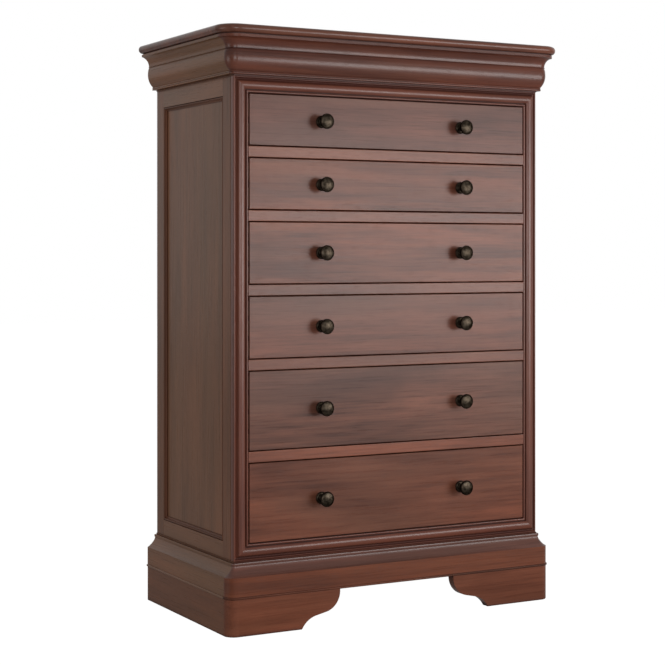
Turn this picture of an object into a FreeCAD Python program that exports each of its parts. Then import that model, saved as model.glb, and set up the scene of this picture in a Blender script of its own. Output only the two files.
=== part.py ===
import FreeCAD, Part
import math
import os

# Tall chest of six drawers, in millimetres. X runs to the right seen from the front,
# Y runs to the back and Z runs up. The origin is on the floor, under the middle of the chest.

os.makedirs("parts", exist_ok=True)

Vector = FreeCAD.Vector

# Main sizes of the chest
chest_height = 1235.0
carcass_width = 748.0
carcass_depth = 400.0
top_thickness = 17.5
top_overhang = 44.0
nose_share = -0.5

# Drawer openings, in pairs that deepen from the top down, and the rails between them.
# A share is that of the height which all six openings have together.
small_opening_share = 0.1344
medium_opening_share = 0.161
rail_height = 22.5
rail_depth = 60.0
arris = 0.8

# Mitred frame moulding round the drawers. Across is taken from its outer edge,
# rises and depths from the plane of the drawer fronts.
frame_width = 33.0
frame_thickness = 16.0
frame_fillet = 3.2
frame_fillet_depth = 2.4
frame_roll_start = 11.6
frame_roll_depth = 4.2
frame_roll_peak = 18.6
frame_roll_rise = 3.0
frame_roll_end = 25.6
frame_groove_width = 1.8
frame_groove_depth = 2.4
frame_edge_depth = 0.6
corner_bead_width = 3.2
corner_quirk = 1.0
frame_hollow_share = 0.16
frame_outer_roll_share = -0.21
frame_inner_roll_share = -0.115
frame_bead_share = -0.26

# Cornice. Offsets are taken outward from the casing, rises upward from its lower edge.
cornice_foot_offset = 6.0
cornice_foot_rise = 1.4
cornice_lip_offset = 11.4
cornice_lip_rise = 4.8
cornice_bulge_foot_offset = 9.6
cornice_bulge_foot_rise = 6.4
cornice_hollow_offset = 13.0
cornice_hollow_rise = 14.0
cornice_bulge_offset = 21.8
cornice_bulge_rise = 40.0
cornice_waist_offset = 19.4
cornice_waist_rise = 54.0
cornice_arris_offset = 20.4
cornice_arris_rise = 55.4
cornice_cove_foot_offset = 19.4
cornice_cove_foot_rise = 56.4
cornice_cove_end_offset = 35.4
cornice_cove_end_rise = 75.4
cornice_fillet_offset = 36.6
cornice_quirk_rise = 80.8
cornice_quirk_offset = 33.4
cornice_quirk_height = 2.2
cornice_bulge_share = -0.1
cornice_cove_share = 0.18

# Base moulding and feet. Offsets are taken outward from the casing.
foot_height = 75.3
foot_thickness = 20.0
base_offset = 22.8
base_bead_height = 5.0
base_bead_rise = 2.4
base_bead_ease = 1.2
fascia_height = 36.0
base_cove_foot_offset = 22.0
base_cove_head_offset = 4.8
base_cove_rise = 18.4
base_nib_offset = 6.4
base_neck_height = 7.4
base_nib_height = 6.4
base_cove_share = 0.094
foot_reach = 234.0
foot_toe_reach = 144.0
foot_toe_lean = 12.1
foot_knee_rise = 21.0
foot_shoulder_rise = 37.6
foot_scoop_radius = 50.0
foot_round_radius = 42.0
floor_arris = 1.0
foot_block_width = 42.0
foot_block_lift = 6.0
base_back_thickness = 18.0
base_back_height = 53.0

# Side frames, panels and their moulding
side_thickness = 20.0
front_stile_width = 36.7
back_stile_width = 38.5
top_rail_show = 38.0
bottom_rail_show = 34.0
tenon_thickness = 6.5
tenon_length = 24.0
tenon_shoulder = 6.0
panel_thickness = 6.0
panel_sink = 5.7
panel_tongue = 8.0
panel_moulding_width = 9.0
panel_moulding_bead = 3.4
panel_moulding_drop = 0.4
panel_moulding_step = 1.5
panel_quirk = 1.2
panel_hollow_share = 0.16

# Back, bottom and hidden rails of the casing
back_thickness = 8.0
back_rebate = 10.0
cross_rail_depth = 24.0
cross_rail_height = 22.0
bottom_thickness = 12.0
bottom_lift = 26.0

# Runners and stops of the drawers
runner_width = 45.0
runner_thickness = 18.0
guide_height = 24.0
stop_spacing = 380.0
stop_length = 42.0
stop_depth = 24.0
stop_height = 5.0
stop_clearance = 0.3

# Drawers
drawer_gap = 2.0
slide_clearance = 0.3
behind_drawer = 20.0
front_thickness = 20.0
drawer_side_thickness = 12.0
drawer_back_thickness = 12.0
drawer_back_setback = 10.0
back_housing = 5.0
drawer_side_drop = 3.0
drawer_bottom_thickness = 6.0
drawer_bottom_rise = 8.0
groove_depth = 6.0
groove_play = 0.3
dovetail_lap = 5.0
dovetail_pitch = 44.0
tail_tip_share = 0.36
tail_root_share = 0.25

# Knobs, turned. Rises are taken from the face of the drawer front.
knob_spacing = 345.0
knob_stem_radius = 5.2
knob_head_radius = 16.0
knob_rim_height = 21.0
knob_crown_radius = 9.0
knob_height = 29.0

# One overrun for every cut that passes right through a piece
overrun = 10.0

quarter_turn = 90.0
full_turn = 360.0

# Places worked out from the sizes above
half_carcass = carcass_width / 2
front_y = top_overhang - (carcass_depth + top_overhang) / 2
back_y = front_y + carcass_depth
frame_back_y = front_y + frame_thickness
back_panel_y = back_y - back_thickness
side_inner_x = half_carcass - side_thickness
half_opening = half_carcass - frame_width
base_moulding_height = base_bead_height + fascia_height + base_cove_rise + base_neck_height + base_nib_height
cornice_height = cornice_quirk_rise + cornice_quirk_height
frame_bottom_z = foot_height + base_moulding_height
top_board_z = chest_height - top_thickness
frame_top_z = top_board_z - cornice_height
opening_shares = [small_opening_share] * 2 + [medium_opening_share] * 2
opening_shares += [(1 - sum(opening_shares)) / 2] * 2
field_height = frame_top_z - frame_bottom_z - 2 * frame_width
all_openings = field_height - rail_height * (len(opening_shares) - 1)
opening_heights = [all_openings * share for share in opening_shares]
bottom_z = foot_height + bottom_lift
panel_bottom_z = frame_bottom_z + bottom_rail_show
panel_top_z = frame_top_z - top_rail_show
panel_front_y = frame_back_y + front_stile_width
panel_back_y = back_y - back_stile_width
foot_inner_offset = base_offset - foot_thickness

RIGHT = Vector(1, 0, 0)
BACK = Vector(0, 1, 0)
UP = Vector(0, 0, 1)
LEFT = RIGHT * -1
FRONT = BACK * -1
DOWN = UP * -1


def save(name, *shapes):
    """Write one node: a single solid, or several separate ones as a group."""
    solids = [solid for shape in shapes for solid in shape.Solids]
    node = solids[0] if len(solids) == 1 else Part.makeCompound(solids)
    node.exportStep("parts/" + name + ".step")


def slab(x_range, y_range, z_range):
    """A board between two X, two Y and two Z places."""
    corner = Vector(x_range[0], y_range[0], z_range[0])
    size = Vector(x_range[1], y_range[1], z_range[1]) - corner
    return Part.makeBox(size.x, size.y, size.z, corner)


def mirrored(shape):
    """The same piece on the other side of the middle of the chest."""
    return shape.mirror(Vector(0, 0, 0), RIGHT)


def joined(first, *others):
    """Several blanks made into one solid, without seams."""
    return first.fuse(list(others)).removeSplitter().Solids[0]


def plate(corners, way):
    """A flat outline given by its corners, thickened by a way."""
    return Part.Face(Part.makePolygon(corners + corners[:1])).extrude(way)


def edge_near(solid, place):
    """The edge whose middle lies nearest to a place."""
    return min(solid.Edges, key=lambda edge: (edge.CenterOfMass - place).Length)


def bow(start, end, share):
    """An arc that rises from its chord by a share of it, to the left of the way from start to end."""
    way = end - start
    crown = (start + end) / 2 + Vector(-way.y, way.x, 0) * share
    return Part.Arc(start, crown, end).toShape()


def section(points):
    """A flat closed outline. Each point gives its two places and the bow of the edge that ends there.
    The outline runs with its inside on the left, so a swelling has a share below zero."""
    edges = []
    for number, (across, along, share) in enumerate(points):
        before = points[number - 1]
        start = Vector(before[0], before[1], 0)
        end = Vector(across, along, 0)
        edges.append(bow(start, end, share) if share else Part.makeLine(start, end))
    return Part.Face(Part.Wire(edges))


def placed(face, origin, first, second):
    """A section moved to a place, with its two axes turned to two given directions."""
    third = first.cross(second)
    matrix = FreeCAD.Matrix(
        first.x, second.x, third.x, origin.x,
        first.y, second.y, third.y, origin.y,
        first.z, second.z, third.z, origin.z,
        0, 0, 0, 1,
    )
    moved = face.copy()
    moved.Placement = FreeCAD.Placement(matrix)
    return moved


def run(face, origin, first, second, length):
    """A straight length with the given section."""
    return placed(face, origin, first, second).extrude(first.cross(second) * length)


def turned(face, origin, first, axis, angle):
    """A section revolved about its second axis."""
    return placed(face, origin, first, axis).revolve(origin, axis, angle)


def mitred_frame(face, corner, across, out, width, height, strip):
    """Four lengths of moulding mitred round a rectangle: lower, far side, upper and near side."""
    back_across = across * -1
    turns = [(across, UP, width), (UP, back_across, height), (back_across, DOWN, width), (DOWN, across, height)]
    lengths = []
    for way, inward, length in turns:
        far = corner + way * length
        trim = [corner, far, far + (inward - way) * strip, corner + (inward + way) * strip]
        deep = [point - out * (frame_thickness + overrun) for point in trim]
        wedge = plate(deep, out * (frame_thickness + 2 * overrun))
        lengths.append(run(face, corner, inward, out, length).common(wedge))
        corner = far
    return lengths


def wrapped_front(face, z):
    """A moulding along the front that turns round both front corners of the casing."""
    right = Vector(half_carcass, front_y, z)
    left = Vector(-half_carcass, front_y, z)
    return joined(
        run(face, right, FRONT, UP, carcass_width),
        turned(face, right, FRONT, UP, quarter_turn),
        turned(face, left, FRONT, UP, -quarter_turn),
    )


def left_run(face, z):
    """A straight length along the left side of the casing, from the front corner to the back."""
    return run(face, Vector(-half_carcass, front_y, z), LEFT, UP, carcass_depth)


def make_top():
    """Top board: round nose along the front and both sides, round front corners, straight back."""
    flat = top_overhang - top_thickness / 2
    face = section([
        (0, 0, 0),
        (flat, 0, 0),
        (flat, top_thickness, nose_share),
        (0, top_thickness, 0),
    ])
    side = left_run(face, top_board_z)
    board_z = (top_board_z, top_board_z + top_thickness)
    middle = slab((-half_carcass, half_carcass), (front_y, back_y), board_z)
    save("top_board", joined(middle, wrapped_front(face, top_board_z), side, mirrored(side)))


def make_cornice():
    """Thin foot and lip, swelling with a hollow foot, sharp arris, cove and top fillet."""
    face = section([
        (0, 0, 0),
        (cornice_foot_offset, 0, 0),
        (cornice_foot_offset, cornice_foot_rise, 0),
        (cornice_lip_offset, cornice_foot_rise, 0),
        (cornice_lip_offset, cornice_lip_rise, 0),
        (cornice_bulge_foot_offset, cornice_bulge_foot_rise, 0),
        (cornice_hollow_offset, cornice_hollow_rise, 0),
        (cornice_bulge_offset, cornice_bulge_rise, cornice_bulge_share),
        (cornice_waist_offset, cornice_waist_rise, 0),
        (cornice_arris_offset, cornice_arris_rise, 0),
        (cornice_cove_foot_offset, cornice_cove_foot_rise, 0),
        (cornice_cove_end_offset, cornice_cove_end_rise, cornice_cove_share),
        (cornice_fillet_offset, cornice_cove_end_rise, 0),
        (cornice_fillet_offset, cornice_quirk_rise, 0),
        (cornice_quirk_offset, cornice_quirk_rise, 0),
        (cornice_quirk_offset, cornice_height, 0),
        (0, cornice_height, 0),
    ])
    side = left_run(face, frame_top_z)
    save("cornice_front", wrapped_front(face, frame_top_z))
    save("cornice_left", side)
    save("cornice_right", mirrored(side))


def make_frame():
    """Frame moulding: outer fillet, deep hollow, broad roll, groove and inner bead, mitred at the corners.
    A quirk down its outer edge sets off a small bead at the corner of the casing."""
    bead_start = frame_roll_end + frame_groove_width
    quirk_end = corner_bead_width + 2 * corner_quirk
    face = section([
        (0, 0, 0),
        (0, -corner_bead_width, 0),
        (corner_quirk, -corner_bead_width - corner_quirk, 0),
        (0, -quirk_end, 0),
        (0, -frame_thickness + arris, 0),
        (arris, -frame_thickness, 0),
        (frame_width, -frame_thickness, 0),
        (frame_width, -frame_edge_depth, 0),
        (bead_start, -frame_edge_depth, frame_bead_share),
        (bead_start, -frame_groove_depth, 0),
        (frame_roll_end, -frame_groove_depth, 0),
        (frame_roll_end, -frame_edge_depth, 0),
        (frame_roll_peak, frame_roll_rise, frame_inner_roll_share),
        (frame_roll_start, -frame_roll_depth, frame_outer_roll_share),
        (frame_fillet, -frame_fillet_depth, frame_hollow_share),
        (frame_fillet, 0, 0),
    ])
    corner = Vector(-half_carcass, front_y, frame_bottom_z)
    height = frame_top_z - frame_bottom_z
    lengths = mitred_frame(face, corner, RIGHT, FRONT, carcass_width, height, frame_width)
    for name, length in zip(["bottom", "right", "top", "left"], lengths):
        save("frame_moulding_" + name, length)


def side_rail(z_range, tenon_z):
    """A rail of the left side frame, with a tenon at each end."""
    middle_x = -half_carcass + side_thickness / 2
    tenon_x = (middle_x - tenon_thickness / 2, middle_x + tenon_thickness / 2)
    board = slab((-half_carcass, -side_inner_x), (panel_front_y, panel_back_y), z_range)
    tenon = slab(tenon_x, (panel_front_y - tenon_length, panel_back_y + tenon_length), tenon_z)
    return joined(board, tenon)


def make_sides():
    """Framed sides: stiles and tenoned rails, a panel in grooves, and a moulding round the panel."""
    board_x = (-half_carcass, -side_inner_x)
    board_z = (foot_height, top_board_z)
    panel = slab(
        (-half_carcass + panel_sink, -half_carcass + panel_sink + panel_thickness),
        (panel_front_y - panel_tongue, panel_back_y + panel_tongue),
        (panel_bottom_z - panel_tongue, panel_top_z + panel_tongue),
    )
    rebate = slab(
        (-side_inner_x - back_rebate, -side_inner_x + overrun),
        (back_panel_y, back_y + overrun),
        board_z,
    )
    clear_of_groove = panel_tongue + tenon_shoulder
    top_rail = side_rail(
        (panel_top_z, top_board_z),
        (panel_top_z + clear_of_groove, top_board_z - tenon_shoulder),
    ).cut(panel)
    bottom_rail = side_rail(
        (foot_height, panel_bottom_z),
        (foot_height + tenon_shoulder, panel_bottom_z - clear_of_groove),
    ).cut(panel)
    front_stile = slab(board_x, (frame_back_y, panel_front_y), board_z)
    corner_edge = edge_near(front_stile, Vector(-half_carcass, frame_back_y, (foot_height + top_board_z) / 2))
    front_stile = front_stile.makeChamfer(arris, [corner_edge]).cut([panel, top_rail, bottom_rail])
    back_stile = slab(board_x, (panel_back_y, back_y), board_z).cut([panel, rebate, top_rail, bottom_rail])
    frame = [front_stile, back_stile, top_rail, bottom_rail]
    bead_end = panel_quirk + panel_moulding_bead
    low = -panel_moulding_drop - panel_moulding_step
    face = section([
        (0, -panel_sink, 0),
        (panel_moulding_width, -panel_sink, 0),
        (panel_moulding_width, -panel_sink + panel_moulding_step, 0),
        (bead_end, low, panel_hollow_share),
        (bead_end, -panel_moulding_drop, 0),
        (panel_quirk, -panel_moulding_drop, 0),
        (panel_quirk, low, 0),
        (0, low, 0),
    ])
    corner = Vector(-half_carcass, panel_back_y, panel_bottom_z)
    width = panel_back_y - panel_front_y
    height = panel_top_z - panel_bottom_z
    moulding = mitred_frame(face, corner, FRONT, LEFT, width, height, panel_moulding_width)
    save("side_left_frame", *frame)
    save("side_right_frame", *[mirrored(piece) for piece in frame])
    save("side_left_panel", panel)
    save("side_right_panel", mirrored(panel))
    save("side_left_panel_moulding", *moulding)
    save("side_right_panel_moulding", *[mirrored(piece) for piece in moulding])


def opening_bottoms():
    """Height of the lower edge of each drawer opening, from the top drawer down."""
    heights = []
    top = frame_top_z - frame_width
    for height in opening_heights:
        heights.append(top - height)
        top = top - height - rail_height
    return heights


def drawer_rail(top):
    """A rail between two drawers: flush between the uprights in front, wider between the sides behind."""
    bottom = top - rail_height
    strip = slab((-half_opening, half_opening), (front_y, frame_back_y + arris), (bottom, top))
    edges = [edge_near(strip, Vector(0, front_y, z)) for z in (bottom, top)]
    strip = strip.makeChamfer(arris, edges)
    body = slab((-side_inner_x, side_inner_x), (frame_back_y, front_y + rail_depth), (bottom, top))
    return joined(strip, body)


def hidden_rail(bottom):
    """A rail behind the frame moulding, above the top drawer or below the bottom one."""
    y_range = (frame_back_y, front_y + rail_depth)
    return slab((-side_inner_x, side_inner_x), y_range, (bottom, bottom + rail_height))


def runner(opening_bottom):
    """Left runner of a drawer: a shelf under the drawer side with a guide beside it."""
    top = opening_bottom + drawer_gap - slide_clearance
    guide_width = side_inner_x - half_opening
    face = section([
        (0, -runner_thickness, 0),
        (runner_width, -runner_thickness, 0),
        (runner_width, 0, 0),
        (guide_width, 0, 0),
        (guide_width, guide_height, 0),
        (0, guide_height, 0),
    ])
    start = Vector(-side_inner_x, back_panel_y, top)
    return run(face, start, RIGHT, UP, back_panel_y - front_y - rail_depth)


def stop_block(opening_bottom, middle_x):
    """A block on the rail that meets the inner face of a shut drawer front."""
    start_y = front_y + front_thickness + stop_clearance
    return slab(
        (middle_x - stop_length / 2, middle_x + stop_length / 2),
        (start_y, start_y + stop_depth),
        (opening_bottom, opening_bottom + stop_height),
    )


def make_inside():
    """Rails, runners and stops of the drawers, then the back, the bottom and the hidden rails."""
    bottoms = opening_bottoms()
    rails = [drawer_rail(bottom) for bottom in bottoms[:-1]]
    lowest = hidden_rail(bottoms[-1] - rail_height)
    highest = hidden_rail(frame_top_z - frame_width)
    runners = [runner(bottom) for bottom in bottoms]
    stops = [stop_block(bottom, stop_spacing / 2) for bottom in bottoms]
    save("drawer_rails", *rails, lowest, highest)
    save("drawer_runners", *runners, *[mirrored(piece) for piece in runners])
    save("drawer_stops", *stops, *[mirrored(piece) for piece in stops])
    full_width = (-half_carcass, half_carcass)
    inner_width = (-side_inner_x, side_inner_x)
    front_layer = (front_y, frame_back_y)
    rear_y = (back_panel_y - cross_rail_depth, back_panel_y)
    high = (top_board_z - cross_rail_height, top_board_z)
    floor_top = bottom_z + bottom_thickness
    save(
        "front_boards",
        slab(full_width, front_layer, (frame_top_z, top_board_z)),
        slab(full_width, front_layer, (foot_height, frame_bottom_z)),
    )
    save(
        "cross_rails",
        slab(inner_width, (frame_back_y, frame_back_y + cross_rail_depth), high),
        slab(inner_width, rear_y, high),
        slab(inner_width, rear_y, (floor_top, floor_top + cross_rail_height)),
    )
    save("bottom_board", slab(inner_width, (frame_back_y, back_panel_y), (bottom_z, floor_top)))
    back_x = side_inner_x + back_rebate
    save("back_panel", slab((-back_x, back_x), (back_panel_y, back_y), (foot_height, top_board_z)))


def make_base_moulding():
    """Bead at the foot, plain fascia, shallow cove and a small nib at the top."""
    fascia_top = base_bead_height + fascia_height
    cove_top = fascia_top + base_cove_rise
    nib_foot = cove_top + base_neck_height
    nib_top = base_moulding_height
    face = section([
        (0, 0, 0),
        (base_offset + base_bead_ease, 0, 0),
        (base_offset + base_bead_rise, base_bead_height / 2, 0),
        (base_offset + base_bead_ease, base_bead_height, 0),
        (base_offset, base_bead_height, 0),
        (base_offset, fascia_top, 0),
        (base_cove_foot_offset, fascia_top, 0),
        (base_cove_head_offset, cove_top, base_cove_share),
        (base_cove_head_offset, nib_foot, 0),
        (base_nib_offset, nib_foot, 0),
        (base_nib_offset, nib_top, 0),
        (0, nib_top, 0),
    ])
    side = left_run(face, foot_height)
    save("base_moulding_front", wrapped_front(face, foot_height))
    save("base_moulding_left", side)
    save("base_moulding_right", mirrored(side))


def foot_scroll():
    """The space beside the left front foot: a hollow that rises from the toe, then a round shoulder."""
    toe_x = -half_carcass + foot_toe_reach
    tip_x = -half_carcass + foot_reach
    start_y = front_y - base_offset - overrun
    knee = Vector(toe_x + foot_toe_lean, start_y, foot_knee_rise)
    shoulder = Vector(tip_x, start_y, foot_shoulder_rise)
    far_x = tip_x + 2 * overrun
    through = BACK * (foot_thickness + 2 * overrun)
    blank = plate([
        Vector(toe_x - foot_toe_lean, start_y, -foot_knee_rise),
        Vector(far_x, start_y, -foot_knee_rise),
        Vector(far_x, start_y, foot_height + overrun),
        Vector(tip_x, start_y, foot_height + overrun),
        shoulder,
        knee,
    ], through)
    for place, radius in [(knee, foot_scoop_radius), (shoulder, foot_round_radius)]:
        blank = blank.makeFillet(radius, [edge_near(blank, place + through / 2)])
    return blank


def make_feet():
    """Front bracket feet with rounded corners, side boards, back rail and corner blocks."""
    face = section([
        (foot_inner_offset, 0, 0),
        (base_offset - floor_arris, 0, 0),
        (base_offset, floor_arris, 0),
        (base_offset, foot_height, 0),
        (foot_inner_offset, foot_height, 0),
    ])
    corner = Vector(-half_carcass, front_y, 0)
    length = foot_reach + overrun
    board = run(face, corner + RIGHT * length, FRONT, UP, length)
    foot = joined(board, turned(face, corner, FRONT, UP, -quarter_turn)).cut(foot_scroll())
    side = left_run(face, 0)
    save("foot_front_left", foot)
    save("foot_front_right", mirrored(foot))
    save("foot_side_left", side)
    save("foot_side_right", mirrored(side))
    inner_x = half_carcass + foot_inner_offset
    rear_y = back_y - base_back_thickness
    save("base_back_rail", slab((-inner_x, inner_x), (rear_y, back_y), (foot_height - base_back_height, foot_height)))
    block_x = (-inner_x, -inner_x + foot_block_width)
    block_z = (foot_block_lift, foot_height)
    block_y = front_y - foot_inner_offset
    front_block = slab(block_x, (block_y, block_y + foot_block_width), block_z)
    corner_edge = edge_near(front_block, Vector(-inner_x, block_y, (foot_block_lift + foot_height) / 2))
    front_block = front_block.makeChamfer(foot_inner_offset, [corner_edge])
    rear_block = slab(block_x, (rear_y - foot_block_width, rear_y), block_z)
    save("foot_blocks", front_block, rear_block, mirrored(front_block), mirrored(rear_block))


def tails(board_x, root_y, tip_y, bottom, top):
    """A row of dovetails on a drawer side, spread evenly over its height."""
    count = max(1, round((top - bottom) / dovetail_pitch))
    pitch = (top - bottom) / count
    root = UP * pitch * tail_root_share
    tip = UP * pitch * tail_tip_share
    row = []
    for number in range(count):
        middle = bottom + pitch * (number + 0.5)
        root_middle = Vector(board_x[0], root_y, middle)
        tip_middle = Vector(board_x[0], tip_y, middle)
        corners = [root_middle - root, tip_middle - tip, tip_middle + tip, root_middle + root]
        row.append(plate(corners, RIGHT * (board_x[1] - board_x[0])))
    return row


def knob_section():
    """Half outline of a knob: straight stem, sharp rim and a sloping crown with a flat top."""
    return section([
        (0, 0, 0),
        (knob_stem_radius, 0, 0),
        (knob_stem_radius, knob_rim_height, 0),
        (knob_head_radius, knob_rim_height, 0),
        (knob_crown_radius, knob_height, 0),
        (0, knob_height, 0),
    ])


def make_drawer(number, opening_bottom, opening_height):
    """A drawer: sides dovetailed into the front, back housed in the sides, bottom in grooves."""
    bottom = opening_bottom + drawer_gap
    top = opening_bottom + opening_height - drawer_gap
    side_top = top - drawer_side_drop
    outer_x = half_opening - drawer_gap
    inner_x = outer_x - drawer_side_thickness
    inner_y = front_y + front_thickness
    end_y = back_panel_y - behind_drawer
    groove_z = bottom + drawer_bottom_rise
    back_bottom = groove_z + drawer_bottom_thickness + groove_play
    board_x = (inner_x, outer_x)
    groove_x = inner_x + groove_depth
    back_x = inner_x + back_housing
    back_y_range = (end_y - drawer_back_setback - drawer_back_thickness, end_y - drawer_back_setback)
    back = slab((-back_x, back_x), back_y_range, (back_bottom, side_top))
    groove = slab((-groove_x, groove_x), (inner_y - groove_depth, end_y + overrun), (groove_z, back_bottom))
    side = joined(
        slab(board_x, (inner_y, end_y), (bottom, side_top)),
        *tails(board_x, inner_y, front_y + dovetail_lap, bottom, side_top),
    ).cut([groove, back])
    sides = [mirrored(side), side]
    middle = Vector(0, front_y, (bottom + top) / 2)
    knob_places = [middle + RIGHT * knob_spacing * share for share in (-0.5, 0.5)]
    front = slab((-outer_x, outer_x), (front_y, inner_y), (bottom, top))
    face_edges = [edge for edge in front.Edges if edge.BoundBox.YMax < front_y + arris]
    front = front.makeChamfer(arris, face_edges).cut([groove] + sides)
    board_edge = groove_x - groove_play
    bottom_board = slab(
        (-board_edge, board_edge),
        (inner_y - groove_depth + groove_play, end_y),
        (groove_z, groove_z + drawer_bottom_thickness),
    )
    knobs = [turned(knob_section(), place, RIGHT, FRONT, full_turn) for place in knob_places]
    name = "drawer_" + str(number) + "_"
    save(name + "front", front)
    save(name + "sides", *sides)
    save(name + "back", back)
    save(name + "bottom", bottom_board)
    save(name + "knobs", *knobs)


make_top()
make_cornice()
make_frame()
make_sides()
make_inside()
make_base_moulding()
make_feet()
for number, (opening_bottom, height) in enumerate(zip(opening_bottoms(), opening_heights), 1):
    make_drawer(number, opening_bottom, height)
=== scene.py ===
import math

import bmesh
import bpy
from mathutils import Matrix, Vector


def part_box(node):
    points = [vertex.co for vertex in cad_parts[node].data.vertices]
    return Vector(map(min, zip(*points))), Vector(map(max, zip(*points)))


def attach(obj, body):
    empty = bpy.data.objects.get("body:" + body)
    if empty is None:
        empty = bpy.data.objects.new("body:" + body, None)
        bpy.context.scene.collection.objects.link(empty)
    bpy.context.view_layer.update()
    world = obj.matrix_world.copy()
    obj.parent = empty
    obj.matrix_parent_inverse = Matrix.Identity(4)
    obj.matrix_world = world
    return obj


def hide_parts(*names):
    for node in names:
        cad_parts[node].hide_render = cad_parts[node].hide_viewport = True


# Looks of a mahogany tall chest with six drawers, in metres.
# X runs to the right seen from the front, Y to the back and Z up.

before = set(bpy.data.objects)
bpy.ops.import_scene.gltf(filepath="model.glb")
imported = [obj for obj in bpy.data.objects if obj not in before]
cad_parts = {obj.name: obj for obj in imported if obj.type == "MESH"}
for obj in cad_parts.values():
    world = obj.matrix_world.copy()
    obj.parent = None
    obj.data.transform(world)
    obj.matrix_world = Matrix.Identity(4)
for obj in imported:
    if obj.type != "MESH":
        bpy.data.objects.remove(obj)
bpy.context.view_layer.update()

RIGHT = Vector((1, 0, 0))
BACK = Vector((0, 1, 0))
UP = Vector((0, 0, 1))
LEFT = -RIGHT
FRONT = -BACK
DOWN = -UP

# Places read from the solids
front_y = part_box("drawer_rails")[0].y
back_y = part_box("back_panel")[1].y
casing_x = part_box("front_boards")[1].x
frame_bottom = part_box("frame_moulding_left")[0].z
frame_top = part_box("frame_moulding_right")[1].z
top_board_bottom, top_board_top = (corner.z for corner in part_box("top_board"))
top_board_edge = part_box("top_board")[1].x
casing_depth = back_y - front_y
casing_width = 2 * casing_x

# Smoothness of the turned and moulded pieces
round_corner_steps = 14
turning_steps = 56
smooth_angle = math.radians(32)
merge_distance = 1e-6

# How far out from the casing each moulding's grain is measured round a corner
top_reach = 0.04
cornice_reach = 0.020
base_reach = 0.016

# Light, dark and brown tones of the woods
front_tones = ((0.146, 0.046, 0.025), (0.046, 0.015, 0.009), (0.096, 0.043, 0.027))
side_tones = ((0.155, 0.063, 0.030), (0.068, 0.031, 0.015), (0.104, 0.054, 0.027))
moulding_tones = ((0.098, 0.0265, 0.014), (0.032, 0.0095, 0.006), (0.060, 0.024, 0.014))
base_tones = ((0.112, 0.0290, 0.0115), (0.040, 0.0108, 0.0050), (0.074, 0.0270, 0.0120))
# The cove's tones are greyed as a painted sheen
cove_tones_painted_sheen = ((0.100, 0.036, 0.025), (0.038, 0.0160, 0.0120), (0.066, 0.033, 0.024))
foot_front_tones = ((0.142, 0.043, 0.0225), (0.056, 0.0172, 0.0092), (0.096, 0.041, 0.0235))
foot_side_tones = ((0.150, 0.050, 0.022), (0.062, 0.024, 0.011), (0.100, 0.042, 0.020))
panel_moulding_tones = ((0.104, 0.041, 0.022), (0.048, 0.019, 0.011), (0.076, 0.035, 0.019))
poplar_tones = ((0.60, 0.40, 0.24), (0.42, 0.26, 0.15), (0.52, 0.37, 0.22))
pine_tones = ((0.54, 0.36, 0.21), (0.36, 0.21, 0.12), (0.48, 0.31, 0.17))
back_tones = ((0.21, 0.115, 0.070), (0.12, 0.060, 0.036), (0.18, 0.105, 0.062))

# Tints of single pieces, as shares of the tones above, and the colour of the painted shade in the recesses
# The drawers' tints are partly their own tone and partly painted sheen: greyer where the sheen is stronger
drawer_tints_and_painted_sheen = (
    (0.74, 0.87, 1.05),
    (0.955, 0.955, 0.96),
    (1.0, 1.0, 1.0),
    (0.78, 0.86, 0.955),
    (0.85, 1.02, 1.16),
    (0.89, 0.86, 0.83),
)
stile_tint = (0.87, 0.79, 0.74)
side_moulding_tint = (1.04, 1.0, 0.91)
# The frame's tint makes a lighter copy of the moulding tones, a painted sheen
frame_tint_painted_sheen = (1.22, 1.20, 1.22)
top_tint = (0.8, 0.8, 0.8)
# The edges' tint darkens the dark wood as painted shade
painted_shade_tint = (0.6, 0.6, 0.6)
# The colour of the painted shade in the recesses
painted_recess_shade_colour = (0.024, 0.006, 0.004)

# The grain's noises: how often they change along and across the wood, and what they do to it
figure_scale = (1.6, 9, 9)
band_scale = (2.4, 46, 46)
streak_scale = (9, 260, 260)
pore_scale = (36, 1500, 1500)
cloud_scale = (1.1, 5.2, 5.2)
noise_range = (0.30, 0.70)
pore_range = (0.58, 0.70)
brown_range = (0.50, 0.86)
figure_share = 0.42
band_share = 0.32
streak_share = 0.26
cloud_streaks = 0.25
brown_tone = 0.9
brown_strength = 0.75
pore_darkness = 0.5
pore_dulling = 0.18
streak_dulling = 0.12
streak_height = 0.6
grain_relief = 0.0002
relief_strength = 0.25

# Where in the log each drawer front is cut, and how far a cut lies from the next one on each axis
drawer_cuts = (41.3, 20.4, 24.1, 27.8, 31.5, 35.2)
cut_spacing = (1.7, 0.9, 2.3)

# Painted shade in the recesses, where the polish is also duller, and the mask of sharp edges: painted
# highlight on the wood, rubbing on the bronze
painted_shade_reach = 0.012
painted_shade_range = (0.10, 0.62)
painted_shade_samples = 8
recess_dulling = 0.3
edge_radius = 0.0012
edge_range = (0.02, 0.25)
edge_samples = 4
patch_scale = (30, 30, 30)
patch_range = (0.35, 0.65)
patch_wear_and_highlight = (0.3, 1.0)
# How much lighter the painted highlight on the wood's edges makes it
painted_highlight_lightness = 1.9

# Bronze and steel
patina_scale = (160, 160, 160)
patina_range = (0.35, 0.68)
patina_dulling = 0.10
bronze_rubbed = (0.060, 0.034, 0.018)
bronze_mirror = (0.25, 0.21, 0.18)
grit_scale = (900, 900, 900)
grit_range = (0.3, 0.7)
steel_dark = (0.30, 0.29, 0.27)
steel_light = (0.46, 0.45, 0.42)
steel_roughness = (0.30, 0.45)


# Node groups

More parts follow.
